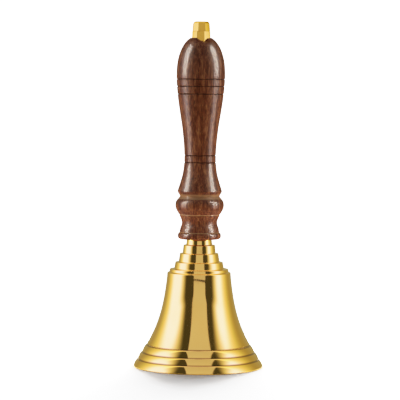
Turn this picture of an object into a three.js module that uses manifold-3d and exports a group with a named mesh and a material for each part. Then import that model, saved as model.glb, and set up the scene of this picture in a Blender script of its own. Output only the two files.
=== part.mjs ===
// Hand bell: a turned brass cup and a turned wooden handle, clamped together by one threaded rod.
// The rod ends in an eye inside the cup, and the clapper hangs from that eye on a wire link.
// Millimetres, +Z up. The origin is the centre of the mouth, in the plane that the rim stands on.

import * as THREE from "three";
import { mergeVertices } from "three/addons/utils/BufferGeometryUtils.js";
import Module from "manifold-3d";

const wasm = await Module();
wasm.setup();

// Clearance between pieces that touch on the real bell.
const GAP = 0.3;

// Facets round each turned piece.
const CUP_FACETS = 48;
const HANDLE_FACETS = 32;
const SMALL_FACETS = 20;
const WIRE_FACETS = 8;

// Cup: the flare is radius = SHOULDER_RADIUS + FLARE_LINEAR * d + FLARE_CUBIC * d^3, where d is the
// depth below the shoulder as a share of the shoulder's height.
const MOUTH_RADIUS = 48.2;
const SHOULDER_Z = 69.4;
const SHOULDER_RADIUS = 23.4;
const SHOULDER_ROUND = 0.7;
const FLARE_LINEAR = 8.3;
const FLARE_CUBIC = 19.2;
const BAND_TOPS = [16.1, 10.8, 5.9]; // the three turned bands above the lip
const BAND_LEDGE = 0.35;
const LIP_Z = 1.2;
const FOOT_OUTER_RADIUS = 47.5;
const FOOT_INNER_RADIUS = 45.2;
const WALL_AT_SHOULDER = 2.8;
const WALL_AT_BOW = 3.6;
const CEILING_Z = 65.8;
const CEILING_ROUND = 3;

// Stepped crown on top of the cup: where each tier starts, and its radius at the foot and at the top.
const CROWN_TIERS = [
  { base: 70.1, foot: 21.8, top: 21.5 },
  { base: 72.4, foot: 18.2, top: 17.5 },
  { base: 77.4, foot: 15.1, top: 14.2 },
  { base: 83.8, foot: 12.2, top: 11.6 },
  { base: 90.0, foot: 9.6, top: 9.1 },
];
const CROWN_TOP_Z = 94.0;

// Rod and what is screwed on it.
const ROD_RADIUS = 4;
const BORE_RADIUS = ROD_RADIUS + GAP;
const WASHER_RADIUS = 9;
const WASHER_THICKNESS = 1.6;
const CROWN_NUT_FLATS = 13;
const CROWN_NUT_HEIGHT = 5;
const ROD_STUB = 1.8; // thread left below the crown nut

// Handle: outline keys as [radius, z].
const HANDLE_BASE_Z = CROWN_TOP_Z + GAP;
const HANDLE_TOP_Z = 242;
const FOOT_KEYS = [[14.4, 0], [15.7, 1.3], [15.8, 2.9], [15.0, 4.7]];
const COVE_KEYS = [[14.5, 6], [13.9, 8.2], [13.0, 12.1], [13.8, 15.5], [15.0, 18]];
const BEAD_KEYS = [[16.4, 20.4], [17.75, 23.6], [17.6, 26.9], [16.5, 29.2]];
const GRIP_KEYS = [
  [16.3, 35.7],
  [13.9, 43.1],
  [12.1, 51.9],
  [11.55, 59.9],
  [12.3, 72.7],
  [14.5, 90.5],
  [17.1, 108.7],
  [17.87, 122.4],
  [16.6, 133.4],
  [14.0, 140.6],
  [10.9, 145.1],
];
const GROOVE_ROOT = [14.5, 31.6];
const SEAT_RADIUS = 7.9;
const SEAT_Z = 238;

// Finial: two stacked octagonal nuts.
const LOCK_NUT_FLATS = 13.6;
const LOCK_NUT_Z = [SEAT_Z + GAP, 246.8];
const LOCK_NUT_TURN = -4;
const CAP_NUT_FLATS = 12.6;
const CAP_NUT_Z = [LOCK_NUT_Z[1] + GAP, 254];
const CAP_NUT_TURN = 4;
const CAP_NUT_ROOF = 1.8;
const NUT_CHAMFER = 0.8;

// Clapper: three wire loops hang in each other, each turned a quarter from the one above.
const EYE_WIRE = 1.4;
const EYE_RADIUS = 3.6;
const LINK_WIRE = 0.9;
const LINK_RADIUS = 4.6;
const STEM_EYE_WIRE = 1.1;
const STEM_EYE_RADIUS = 3;
const STEM_RADIUS = 1.5;
const BALL_RADIUS = 7.5;
const BALL_Z = 12;
const RIVET_RADIUS = 2.8;
const RIVET_HEIGHT = 1.2;
const COLLAR_RADIUS = 2.4;
const COLLAR_HEIGHT = 1.8;

// Heights that follow from the stack under the ceiling.
const WASHER_TOP = CEILING_Z - GAP;
const NUT_TOP = WASHER_TOP - WASHER_THICKNESS - GAP;
const NUT_BOTTOM = NUT_TOP - CROWN_NUT_HEIGHT;
const ROD_BOTTOM = NUT_BOTTOM - ROD_STUB;
const EYE_Z = ROD_BOTTOM + 0.2 - EYE_RADIUS;
const LINK_PIVOT_Z = EYE_Z - EYE_RADIUS;
const LINK_Z = LINK_PIVOT_Z + EYE_WIRE + GAP + LINK_WIRE - LINK_RADIUS;
const STEM_PIVOT_Z = LINK_Z - LINK_RADIUS;
const STEM_EYE_Z = STEM_PIVOT_Z + LINK_WIRE + GAP + STEM_EYE_WIRE - STEM_EYE_RADIUS;
const STEM_TOP = STEM_EYE_Z - STEM_EYE_RADIUS + 0.5;
const BALL_BORE = STEM_RADIUS + GAP;
const BALL_MOUTH = Math.sqrt(BALL_RADIUS ** 2 - BALL_BORE ** 2); // from the ball's centre to its bore's mouth

const MATERIALS = {
  brass: { color: 0xd9b45a, roughness: 0.18, metalness: 1 },
  wood: { color: 0x5a2a17, roughness: 0.35, metalness: 0 },
  steel: { color: 0xa8a9ab, roughness: 0.35, metalness: 1 },
  wire: { color: 0x8c8275, roughness: 0.4, metalness: 1 },
};

const bell = new THREE.Group();

function addNode(name, geometry, material) {
  const mesh = new THREE.Mesh(geometry, new THREE.MeshStandardMaterial(MATERIALS[material]));
  mesh.name = name;
  bell.add(mesh);
}

// A closed profile of [radius, z] pairs turned about the Z axis.
function turned(profile, facets) {
  const points = profile.map(([radius, z]) => new THREE.Vector2(radius, z));
  return new THREE.LatheGeometry(points, facets).rotateX(Math.PI / 2);
}

// The closed outline of a piece with a hole down its axis: the outside from the bottom up, then the hole.
function bored(outside, radius) {
  const bottom = [radius, outside[0][1]];
  const top = [radius, outside.at(-1)[1]];
  return [bottom, ...outside, top, bottom];
}

function onAxis(outside) {
  return [[0, outside[0][1]], ...outside, [0, outside.at(-1)[1]]];
}

// Points on an arc about [radius, z], with angles in degrees from +radius towards +z.
function arc([radius, z], size, from, to, steps) {
  return Array.from({ length: steps + 1 }, (_, i) => {
    const angle = THREE.MathUtils.degToRad(from + ((to - from) * i) / steps);
    return [radius + size * Math.cos(angle), z + size * Math.sin(angle)];
  });
}

function smooth(keys, steps) {
  const curve = new THREE.SplineCurve(keys.map(([radius, z]) => new THREE.Vector2(radius, z)));
  return curve.getPoints(steps).map((point) => [point.x, point.y]);
}

function raised(keys, z) {
  return keys.map(([radius, height]) => [radius, height + z]);
}

function solidOf(geometry) {
  const plain = new THREE.BufferGeometry();
  plain.setAttribute("position", geometry.getAttribute("position").clone());
  plain.setIndex(geometry.index);
  const merged = mergeVertices(plain, 1e-4);
  const triVerts = new Uint32Array(merged.index.array);
  const vertProperties = merged.attributes.position.array;
  return new wasm.Manifold(new wasm.Mesh({ numProp: 3, vertProperties, triVerts }));
}

function geometryOf(solid) {
  const mesh = solid.getMesh();
  return new THREE.BufferGeometry()
    .setAttribute("position", new THREE.BufferAttribute(mesh.vertProperties, 3))
    .setIndex(new THREE.BufferAttribute(mesh.triVerts, 1));
}

// A wire ring about the point at height z. Its axis is X, or Y when lying across.
function wireRing(radius, wire, z, across) {
  const ring = new THREE.TorusGeometry(radius, wire, WIRE_FACETS, SMALL_FACETS);
  if (across) ring.rotateX(Math.PI / 2);
  else ring.rotateY(Math.PI / 2);
  return ring.translate(0, 0, z);
}

// A chamfered nut: a prism with the given number of flats, cut round by a turned blank.
function nut(sides, flats, [bottom, top], turn, holeTop) {
  const corner = flats / 2 / Math.cos(Math.PI / sides);
  const height = top - bottom;
  const prism = new THREE.CylinderGeometry(corner, corner, height, sides).rotateX(Math.PI / 2);
  prism.rotateZ(Math.PI / 2 + Math.PI / sides + THREE.MathUtils.degToRad(turn));
  prism.translate(0, 0, bottom + height / 2);
  const rim = corner - NUT_CHAMFER;
  const drop = NUT_CHAMFER / 2;
  const blank = turned(
    onAxis([[rim, bottom], [corner, bottom + drop], [corner, top - drop], [rim, top]]),
    2 * SMALL_FACETS,
  );
  const hole = turned(onAxis([[BORE_RADIUS, bottom - 1], [BORE_RADIUS, holeTop]]), SMALL_FACETS);
  return geometryOf(solidOf(prism).intersect(solidOf(blank)).subtract(solidOf(hole)));
}

function flareRadius(z) {
  const depth = (SHOULDER_Z - z) / SHOULDER_Z;
  return SHOULDER_RADIUS + FLARE_LINEAR * depth + FLARE_CUBIC * depth ** 3;
}

// Below the flare the outside is a straight cone down to the lip.
function coneRadius(z) {
  const share = (BAND_TOPS[0] - z) / (BAND_TOPS[0] - LIP_Z);
  return THREE.MathUtils.lerp(flareRadius(BAND_TOPS[0]), MOUTH_RADIUS, share);
}

function innerRadius(z) {
  const share = (SHOULDER_Z - z) / (SHOULDER_Z - BAND_TOPS[0]);
  return flareRadius(z) - THREE.MathUtils.lerp(WALL_AT_SHOULDER, WALL_AT_BOW, share);
}

// Heights from one end of the flare to the other, closer together towards the mouth.
function flareHeights(top, steps) {
  return Array.from({ length: steps + 1 }, (_, i) => {
    const share = (i / steps) ** 1.3;
    return THREE.MathUtils.lerp(BAND_TOPS[0], top, share);
  });
}

function cupOutside() {
  const bandEnds = [...BAND_TOPS.slice(1), LIP_Z];
  const bands = BAND_TOPS.flatMap((top, i) => [
    [coneRadius(top) + BAND_LEDGE, top],
    [coneRadius(bandEnds[i]), bandEnds[i]],
  ]).reverse();
  const shoulder = [SHOULDER_RADIUS - SHOULDER_ROUND, SHOULDER_Z];
  const flareTop = SHOULDER_Z - SHOULDER_ROUND;
  const flare = flareHeights(flareTop, 11).map((z) => [flareRadius(z), z]);
  const tierTops = [...CROWN_TIERS.slice(1).map((tier) => tier.base), CROWN_TOP_Z];
  const tiers = CROWN_TIERS.flatMap((tier, i) => [
    [tier.foot, tier.base],
    [tier.top, tierTops[i]],
  ]);
  const lip = [[FOOT_OUTER_RADIUS, 0], [MOUTH_RADIUS - 0.15, 0.45]];
  return [...lip, ...bands, ...flare, shoulder, [tiers[0][0], SHOULDER_Z], ...tiers];
}

function bellCup() {
  const roundZ = CEILING_Z - CEILING_ROUND;
  const roundCentre = [innerRadius(roundZ) - CEILING_ROUND, roundZ];
  const wall = flareHeights(roundZ - 0.5, 8).map((z) => [innerRadius(z), z]);
  const inside = [[FOOT_INNER_RADIUS, 0], ...wall, ...arc(roundCentre, CEILING_ROUND, 0, 90, 4)];
  const bore = [[BORE_RADIUS, CROWN_TOP_Z], [BORE_RADIUS, CEILING_Z]];
  const outside = cupOutside();
  return turned([...outside, ...bore, ...inside.reverse(), outside[0]], CUP_FACETS);
}

function handle() {
  const body = [
    ...smooth(FOOT_KEYS, 5),
    ...smooth(COVE_KEYS, 7),
    ...smooth(BEAD_KEYS, 6),
    GROOVE_ROOT,
    ...smooth(GRIP_KEYS, 18),
  ];
  const outside = raised(body, HANDLE_BASE_Z);
  const mouth = [[SEAT_RADIUS + 0.4, HANDLE_TOP_Z], [SEAT_RADIUS, HANDLE_TOP_Z - 0.6]];
  return turned(bored([...outside, ...mouth, [SEAT_RADIUS, SEAT_Z]], BORE_RADIUS), HANDLE_FACETS);
}

function tieRod() {
  const top = CAP_NUT_Z[1] - CAP_NUT_ROOF - GAP;
  const chamfer = 0.6;
  const thread = [
    [ROD_RADIUS - chamfer, ROD_BOTTOM],
    [ROD_RADIUS, ROD_BOTTOM + chamfer],
    [ROD_RADIUS, top - chamfer],
    [ROD_RADIUS - chamfer, top],
  ];
  const eye = wireRing(EYE_RADIUS, EYE_WIRE, EYE_Z, false);
  return geometryOf(solidOf(turned(onAxis(thread), SMALL_FACETS)).add(solidOf(eye)));
}

function washer() {
  const bottom = WASHER_TOP - WASHER_THICKNESS;
  return turned(bored([[WASHER_RADIUS, bottom], [WASHER_RADIUS, WASHER_TOP]], BORE_RADIUS), SMALL_FACETS);
}

function clapperStem() {
  const ballBottom = BALL_Z - BALL_MOUTH - GAP;
  const ballTop = BALL_Z + BALL_MOUTH + GAP;
  const pin = onAxis([
    [RIVET_RADIUS - 0.9, ballBottom - RIVET_HEIGHT],
    [RIVET_RADIUS, ballBottom - RIVET_HEIGHT / 2],
    [RIVET_RADIUS, ballBottom],
    [STEM_RADIUS, ballBottom],
    [STEM_RADIUS, ballTop],
    [COLLAR_RADIUS, ballTop],
    [COLLAR_RADIUS, ballTop + COLLAR_HEIGHT / 2],
    [STEM_RADIUS, ballTop + COLLAR_HEIGHT],
    [STEM_RADIUS, STEM_TOP],
  ]);
  const eye = wireRing(STEM_EYE_RADIUS, STEM_EYE_WIRE, STEM_EYE_Z, false);
  return geometryOf(solidOf(turned(pin, SMALL_FACETS)).add(solidOf(eye)));
}

function clapperBall() {
  const poleAngle = THREE.MathUtils.radToDeg(Math.acos(BALL_BORE / BALL_RADIUS));
  const round = arc([0, BALL_Z], BALL_RADIUS, -poleAngle, poleAngle, 16);
  return turned(bored(round, BALL_BORE), SMALL_FACETS);
}

addNode("bell_cup", bellCup(), "brass");
addNode("handle", handle(), "wood");
addNode("tie_rod", tieRod(), "steel");
addNode("crown_washer", washer(), "steel");
addNode("crown_nut", nut(6, CROWN_NUT_FLATS, [NUT_BOTTOM, NUT_TOP], 0, NUT_TOP + 1), "steel");
addNode("finial_lock_nut", nut(8, LOCK_NUT_FLATS, LOCK_NUT_Z, LOCK_NUT_TURN, LOCK_NUT_Z[1] + 1), "brass");
addNode("finial_cap_nut", nut(8, CAP_NUT_FLATS, CAP_NUT_Z, CAP_NUT_TURN, CAP_NUT_Z[1] - CAP_NUT_ROOF), "brass");
addNode("clapper_link", wireRing(LINK_RADIUS, LINK_WIRE, LINK_Z, true), "wire");
addNode("clapper_stem", clapperStem(), "wire");
addNode("clapper_ball", clapperBall(), "brass");

export default bell;
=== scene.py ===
"""A hand bell built round its CAD frame: brass cup, turned wooden handle, octagonal finial and clapper.

Every length in the settings is in metres, in the frame's own axes: +Z runs up the bell's axis from the
mouth. The tables of outlines below are in millimetres.
"""

import math

import bpy
import numpy as np
from bpy.props import FloatProperty, FloatVectorProperty, IntProperty, PointerProperty
from bpy.types import Operator, Panel, PropertyGroup
from mathutils import Matrix, Vector


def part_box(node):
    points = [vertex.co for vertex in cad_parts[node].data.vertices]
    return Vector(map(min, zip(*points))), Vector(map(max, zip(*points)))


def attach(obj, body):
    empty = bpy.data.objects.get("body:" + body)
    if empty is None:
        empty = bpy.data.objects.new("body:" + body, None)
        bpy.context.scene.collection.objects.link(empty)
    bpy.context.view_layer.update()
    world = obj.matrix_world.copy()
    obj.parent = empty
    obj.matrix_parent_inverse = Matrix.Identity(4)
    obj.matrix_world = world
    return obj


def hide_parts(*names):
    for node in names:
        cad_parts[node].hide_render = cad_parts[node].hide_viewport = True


bl_info = {
    "name": "Hand Bell",
    "version": (1, 0, 0),
    "blender": (4, 5, 0),
    "location": "3D View > Sidebar > Hand Bell",
    "description": "Builds a brass hand bell with a turned wooden handle and a hanging clapper",
    "category": "Add Mesh",
}

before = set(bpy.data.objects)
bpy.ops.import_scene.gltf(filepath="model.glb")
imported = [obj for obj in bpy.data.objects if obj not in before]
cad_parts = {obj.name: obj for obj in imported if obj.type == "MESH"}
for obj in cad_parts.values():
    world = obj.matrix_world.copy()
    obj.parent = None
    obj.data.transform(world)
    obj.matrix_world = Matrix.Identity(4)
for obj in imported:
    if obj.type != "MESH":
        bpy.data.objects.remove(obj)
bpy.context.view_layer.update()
MM = 0.001

CUP_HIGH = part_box("bell_cup")[1]
HANDLE_LOW, HANDLE_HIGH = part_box("handle")
ROD_LOW, ROD_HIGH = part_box("tie_rod")
BALL_LOW, BALL_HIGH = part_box("clapper_ball")
STEM_LOW, STEM_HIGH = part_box("clapper_stem")
LINK_LOW, LINK_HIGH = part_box("clapper_link")

# Gap between two pieces that touch on a real bell, and the bore that leaves it round the rod.
CLEARANCE = 0.3 * MM
ROD_RADIUS = 4.0 * MM
BORE_RADIUS = ROD_RADIUS + CLEARANCE

# Where the frame's pieces put the cup's crown, mouth and ceiling.
CROWN_TOP = CUP_HIGH.z
MOUTH_RADIUS = CUP_HIGH.x
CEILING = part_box("crown_washer")[1].z + CLEARANCE

# How strongly, and over what share of its height, the cup's wall is straightened under the shoulder.
SHOULDER_EASE = 0.6
SHOULDER_REACH = 0.05
# Top of the rounded lip, and the heights at which the three turned bands above it end.
LIP_HEIGHT = 0.5 * MM
BAND_TOPS = [5.9 * MM, 10.9 * MM, 16.2 * MM]
# Corners of the crown's tiers as (radius, height) in millimetres, from the shoulder up.
CROWN_TIERS = [
    (21.9, 70.1),
    (21.55, 72.15),
    (18.3, 72.5),
    (17.5, 77.25),
    (15.1, 77.55),
    (14.2, 83.7),
    (12.2, 83.95),
    (11.6, 89.85),
    (9.65, 90.1),
]

# Outline of the handle as (radius, height above its base) in millimetres, one list for each smooth stretch.
HANDLE_FOOT = [(14.3, 0), (15.3, 0.5), (15.78, 1.5), (15.87, 2.7), (15.6, 3.9), (15.05, 4.7)]
HANDLE_COVE = [
    (14.75, 5.0),
    (14.4, 6.4),
    (14.0, 8.3),
    (13.25, 10.3),
    (12.98, 12.2),
    (13.4, 14.2),
    (14.95, 17.9),
]
HANDLE_BEAD = [
    (15.1, 18.2),
    (16.0, 19.7),
    (17.4, 22.3),
    (17.87, 25.2),
    (17.35, 27.8),
    (16.5, 29.0),
    (15.6, 30.1),
]
HANDLE_VEE = [(15.6, 30.1), (14.5, 31.6), (15.25, 33.0), (16.2, 34.6)]
HANDLE_GRIP = [
    (16.35, 35.3),
    (15.7, 37.5),
    (14.3, 42.0),
    (12.7, 48.0),
    (11.75, 55.3),
    (11.6, 61.5),
    (12.05, 70.0),
    (13.3, 81.7),
    (15.0, 92.6),
    (16.7, 104.2),
    (17.65, 114.5),
    (17.85, 121.5),
    (17.35, 129.3),
    (16.0, 135.4),
    (14.1, 140.3),
    (11.9, 143.9),
    (9.9, 146.1),
    (8.35, 147.3),
]
# Stretches of the handle as (from, to, number of rings of points), closer where it curves more.
HANDLE_STEPS = [(0, 18, 34), (18, 36, 44), (36, 135, 70), (135, 147.3, 26)]
# Heights of the scribed rings, which get painted shade, and of the fine pale ones, and (middle, half width)
# of the bare wood in the V.
SCRIBED_RINGS = [117.4, 112.2, 106.6, 61.6, 56.4]
PALE_RINGS = [18.0, 4.9]
PALE_HALF_WIDTH = 0.5
BARE_VEE = (31.4, 2.3)

# Angle between two faces from which their edge shows as a crease.
CREASE = math.radians(32)


# ---------------------------------------------------------------------------------------------- settings


def length(name, description, default, low=0.0, high=1.0):
    return FloatProperty(
        name=name, description=description, default=default, min=low, max=high, precision=5, unit="LENGTH"
    )


def share(name, description, default):
    return FloatProperty(
        name=name, description=description, default=default, min=0, max=1, subtype="FACTOR"
    )


def degrees(name, description, default):
    return FloatProperty(name=name, description=description, default=math.radians(default), subtype="ANGLE")


def amount(name, description, default):
    return FloatProperty(name=name, description=description, default=default, min=0)


def facet_count(name, description, default):
    return IntProperty(name=name, description=description, default=default, min=24, max=360)


def colour(name, description, default):
    return FloatVectorProperty(
        name=name, description=description, default=default, size=3, min=0, max=1, subtype="COLOR"
    )


class CupSettings(PropertyGroup):
    shoulder_height: length("Shoulder height", "Top edge of the flared wall", 69.4 * MM)
    shoulder_radius: length("Shoulder radius", "Radius of the wall at the shoulder", 23.4 * MM)
    flare_linear: length("Flare, linear", "Spread of the wall that grows with depth", 8.25 * MM)
    flare_cubic: length("Flare, cubic", "Spread of the wall that grows with depth cubed", 19.6 * MM)
    band_bulge: length("Band bulge", "How far a band swells past a straight cone", 0.42 * MM)
    groove_depth: length("Groove depth", "Depth of the line between two bands", 0.16 * MM)
    wall_shoulder: length("Wall at shoulder", "Thickness of the wall near the crown", 2.8 * MM)
    wall_bow: length("Wall at bow", "Thickness of the wall where the ball strikes", 3.6 * MM)
    foot_inner: length("Foot inner radius", "Inner edge of the flat ring under the lip", 45.2 * MM)
    foot_outer: length("Foot outer radius", "Outer edge of the flat ring under the lip", 47.85 * MM)
    edge_round: length("Edge rounding", "Rounding of the crown's polished edges", 0.32 * MM)
    facets: facet_count("Facets", "Steps round the cup", 288)


class HandleSettings(PropertyGroup):
    groove_depth: length("Ring depth", "Depth of the fine scribed rings", 0.5 * MM)
    groove_width: length("Ring width", "Half the width of a scribed ring", 0.55 * MM)
    seat_radius: length("Seat radius", "Radius of the hole that the finial sits in", 7.75 * MM)
    seat_height: length("Seat height", "Height of the finial's seat", 238.0 * MM)
    chip_depth: length("Chip depth", "Depth of the chipped dip at the front of the seat", 3.1 * MM)
    chip_turn: degrees("Chip direction", "Direction of the chip about the axis", -77)
    facets: facet_count("Facets", "Steps round the handle", 240)


class FinialSettings(PropertyGroup):
    lock_flats: length("Lower nut flats", "Width across the lower nut's flats", 13.6 * MM)
    cap_flats: length("Upper nut flats", "Width across the upper nut's flats", 12.6 * MM)
    turn: degrees("Turn", "Half the turn between the two nuts", 4)
    joint: length("Joint", "How far the upper nut's foot reaches down to the lower nut", 0.27 * MM)
    chamfer: length("Chamfer", "Chamfer round the top of the upper nut", 1.5 * MM)
    draft: length("Draft", "How much narrower each nut's flats stand at its top", 0.35 * MM)
    corner_round: length("Corner rounding", "Rounding of the polished corners", 0.35 * MM)


class ClapperSettings(PropertyGroup):
    eye_wire: length("Rod eye wire", "Wire radius of the rod's eye", 1.4 * MM)
    link_wire: length("Link wire", "Wire radius of the link", 0.9 * MM)
    stem_eye_wire: length("Stem eye wire", "Wire radius of the clapper's eye", 1.1 * MM)
    stem_radius: length("Stem radius", "Radius of the clapper's stem", 1.5 * MM)
    ball_bore: length("Ball bore", "Radius of the hole through the ball", 1.8 * MM)
    thread_pitch: length("Thread pitch", "Pitch of the rod's thread", 1.25 * MM)
    thread_depth: length("Thread depth", "Depth of the rod's thread", 0.55 * MM)


class FinishSettings(PropertyGroup):
    brass: colour("Brass", "Polished brass", (0.93, 0.57, 0.105))
    brass_deep: colour("Brass, deep", "Brass where the polish has warmed", (0.90, 0.51, 0.075))
    brass_finial: colour("Brass, finial", "Darker brass of the finial", (0.70, 0.405, 0.036))
    brass_turned: colour("Brass, turned", "Unpolished brass inside the cup", (0.66, 0.43, 0.16))
    wood_dark: colour("Wood, dark", "Dark streaks of the handle", (0.085, 0.019, 0.0065))
    wood_mid: colour("Wood, middle", "Main tone of the handle", (0.205, 0.054, 0.019))
    wood_light: colour("Wood, light", "Light streaks of the handle", (0.37, 0.14, 0.048))
    wood_bare: colour("Wood, bare", "Bare wood in the deep groove", (0.40, 0.21, 0.085))
    steel: colour("Steel", "Plated rod and nuts", (0.56, 0.55, 0.52))
    wire: colour("Wire", "Drawn wire of the clapper", (0.34, 0.31, 0.27))
    coat: share("Brass lacquer", "Strength of the clear coat on the brass", 0.11)
    lacquer: share("Wood lacquer", "Strength of the clear coat on the wood", 0.045)


class StageSettings(PropertyGroup):
    distance: length("Camera distance", "From the bell's axis to the camera", 1.4609, 0.1, 10)
    eye_height: length("Camera height", "Height of the camera over the floor", 0.2021, 0, 10)
    aim_offset: length("Aim offset", "How far the camera stands to the right of the axis", 0.23 * MM)
    pitch: degrees("Camera pitch", "Tilt below the horizon", 3.1)
    roll: degrees("Camera roll", "Turn about the line of sight", 0.552)
    lens: FloatProperty(name="Lens", description="Focal length", default=178.8, min=1, unit="CAMERA")
    softbox: amount("Softbox", "Brightness of the side softboxes", 1.75)
    panel: amount("Front panel", "Brightness of the panel in front", 0.74)
    gap: amount("Gap", "Brightness of the dark gaps beside the panel", 0.07)
    behind: amount("Behind", "Brightness behind the bell", 0.42)
    fill: share("Fill", "Share of the studio that lights matt surfaces", 0.28)
    wash: amount("Wash", "Power of the soft side lights on the wood", 4.0)
    strip: amount("Strips", "Brightness of the strips seen in the wood", 150.0)
    backdrop: amount("Backdrop", "Brightness of the seen backdrop", 2.3)
    key: amount("Key", "Power of the lamps that light the table, in watts", 1080.0)
    table: length("Table radius", "Radius of the round white table", 0.2, 0.1, 10)


class BellSettings(PropertyGroup):
    cup: PointerProperty(type=CupSettings)
    handle: PointerProperty(type=HandleSettings)
    finial: PointerProperty(type=FinialSettings)
    clapper: PointerProperty(type=ClapperSettings)
    finish: PointerProperty(type=FinishSettings)
    stage: PointerProperty(type=StageSettings)


# ------------------------------------------------------------------------------------------------- meshes


def rounded(corners, steps=6):
    """A profile of (radius, height, rounding) corners, each cut by a quadratic curve between the two points
    that lie the rounding away from the corner along its edges. A second point just outside each end keeps
    flat faces flat."""
    corners = np.array(corners, float)
    points = [corners[0, :2]]
    for before, corner, after in zip(corners[:-2], corners[1:-1], corners[2:]):
        if corner[2] == 0:
            points.append(corner[:2])
            continue
        back, on = before[:2] - corner[:2], after[:2] - corner[:2]
        reach = min(corner[2], 0.4 * np.linalg.norm(back), 0.4 * np.linalg.norm(on))
        back, on = back / np.linalg.norm(back) * reach, on / np.linalg.norm(on) * reach
        t = np.linspace(0, 1, steps)[:, None]
        points.append(corner[:2] + 1.2 * back)
        points.extend(corner[:2] + back * (1 - t) ** 2 + on * t**2)
        points.append(corner[:2] + 1.2 * on)
    points.append(corners[-1, :2])
    return np.array(points)


def smooth(keys, count):
    """Catmull-Rom curve through the keys, with count points spread evenly over the key intervals."""
    keys = np.array(keys, float)
    padded = np.vstack([2 * keys[0] - keys[1], keys, 2 * keys[-1] - keys[-2]])
    u = np.linspace(0, len(keys) - 1, count)
    i = np.minimum(u.astype(int), len(keys) - 2)
    t = (u - i)[:, None]
    a, b, c, d = padded[i], padded[i + 1], padded[i + 2], padded[i + 3]
    return 0.5 * (2 * b + (c - a) * t + (2 * a - 5 * b + 4 * c - d) * t**2 + (3 * b - 3 * c + d - a) * t**3)


def revolve(profile, facets):
    """Grid of (radius cos a, radius sin a, height): each profile point is carried round the Z axis in equal
    steps of a."""
    angle = np.linspace(0, 2 * np.pi, facets, endpoint=False)
    radius, height = profile[:, :1], profile[:, 1:2]
    return np.stack([radius * np.cos(angle), radius * np.sin(angle), height + 0 * angle], axis=-1)


def wire_ring(centre, radius, wire, axis, around=96, section=24, seam=0.0):
    """Ring of wire: (radius + w cos b) in the ring's plane and w sin b along its axis, where w is the
    wire's radius, swollen by the seam where the ends were joined."""
    a = np.linspace(0, 2 * np.pi, around, endpoint=False)[:, None]
    b = np.linspace(0, 2 * np.pi, section, endpoint=False)[None, :]
    seam_width = 0.09
    w = wire * (1 + seam * np.exp(-((np.sin(a / 2) / seam_width) ** 2)))
    out, side = radius + w * np.cos(b), w * np.sin(b)
    along = [out * np.cos(a), out * np.sin(a)]
    order = [side, *along] if axis == "X" else [along[0], side, along[1]]
    return np.stack(order, axis=-1) + np.array(centre)


def prism_rings(sides, apothems, heights, turn, corner):
    """One row for each height: a polygon with the given apothem whose corners are arcs of the corner
    radius. Its points are arc centres at apothem - corner, plus the corner radius at each arc's angles."""
    side = np.arange(sides)[:, None] * 2 * np.pi / sides
    sweep = np.linspace(-np.pi / sides, np.pi / sides, 5)[None, :]
    mid = side + np.pi / sides + turn
    rows = []
    for apothem, height in zip(apothems, heights):
        rounding = min(corner, 0.5 * apothem)
        centre = (apothem - rounding) / math.cos(math.pi / sides)
        x = centre * np.cos(mid) + rounding * np.cos(mid + sweep)
        y = centre * np.sin(mid) + rounding * np.sin(mid + sweep)
        rows.append(np.stack([x.ravel(), y.ravel(), np.full(x.size, height)], axis=-1))
    return np.array(rows)


def shell_mesh(grid, loop):
    """Vertices and faces of one closed shell. Columns always close. Rows close too on a loop; otherwise the
    first and last rows are closed by fans to their middles. Faces are turned outwards by the sign of the
    volume."""
    rows, columns = grid.shape[:2]
    points = grid.reshape(-1, 3)
    row = np.arange(rows if loop else rows - 1)[:, None]
    column = np.arange(columns)[None, :]
    here, above = row * columns, (row + 1) % rows * columns
    right = (column + 1) % columns
    quads = np.stack([here + column, here + right, above + right, above + column], axis=-1).reshape(-1, 4)
    fans = np.zeros((0, 3), int)
    if not loop:
        edge = np.arange(columns)
        turn = (edge + 1) % columns
        last = (rows - 1) * columns
        low, high = len(points), len(points) + 1
        points = np.vstack([points, grid[0].mean(0), grid[-1].mean(0)])
        bottom = np.stack([turn, edge, np.full(columns, low)], axis=-1)
        top = np.stack([last + edge, last + turn, np.full(columns, high)], axis=-1)
        fans = np.vstack([bottom, top])
    triangles = np.vstack([quads[:, [0, 1, 2]], quads[:, [0, 2, 3]], fans])
    a, b, c = (points[triangles[:, k]] for k in range(3))
    if np.einsum("ij,ij->", a, np.cross(b, c)) < 0:
        quads, fans = quads[:, ::-1], fans[:, ::-1]
    return points, quads, fans


def make_piece(name, body, nodes, shells, materials):
    """One mesh object from closed shells, each given as (grid, loop, material index of each row). It rides
    on its body, takes the place of the CAD nodes, and keeps its place in its mesh."""
    vertices, faces, slots, first = [], [], [], 0
    for grid, loop, row_slots in shells:
        points, quads, fans = shell_mesh(grid, loop)
        vertices.append(points)
        faces += (quads + first).tolist() + (fans + first).tolist()
        of_row = np.broadcast_to(row_slots, (len(quads) // grid.shape[1],))
        slots += np.repeat(of_row, grid.shape[1]).tolist() + [int(of_row[-1])] * len(fans)
        first += len(points)
    mesh = bpy.data.meshes.new(name)
    mesh.from_pydata(np.vstack(vertices).tolist(), [], faces)
    mesh.polygons.foreach_set("material_index", slots)
    for material in materials:
        mesh.materials.append(material)
    mesh.shade_smooth()
    mesh.set_sharp_from_angle(angle=CREASE)
    mesh.validate()
    piece = bpy.data.objects.new(name, mesh)
    bpy.context.scene.collection.objects.link(piece)
    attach(piece, body)
    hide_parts(*nodes)
    return piece


# ---------------------------------------------------------------------------------------------- materials


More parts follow.
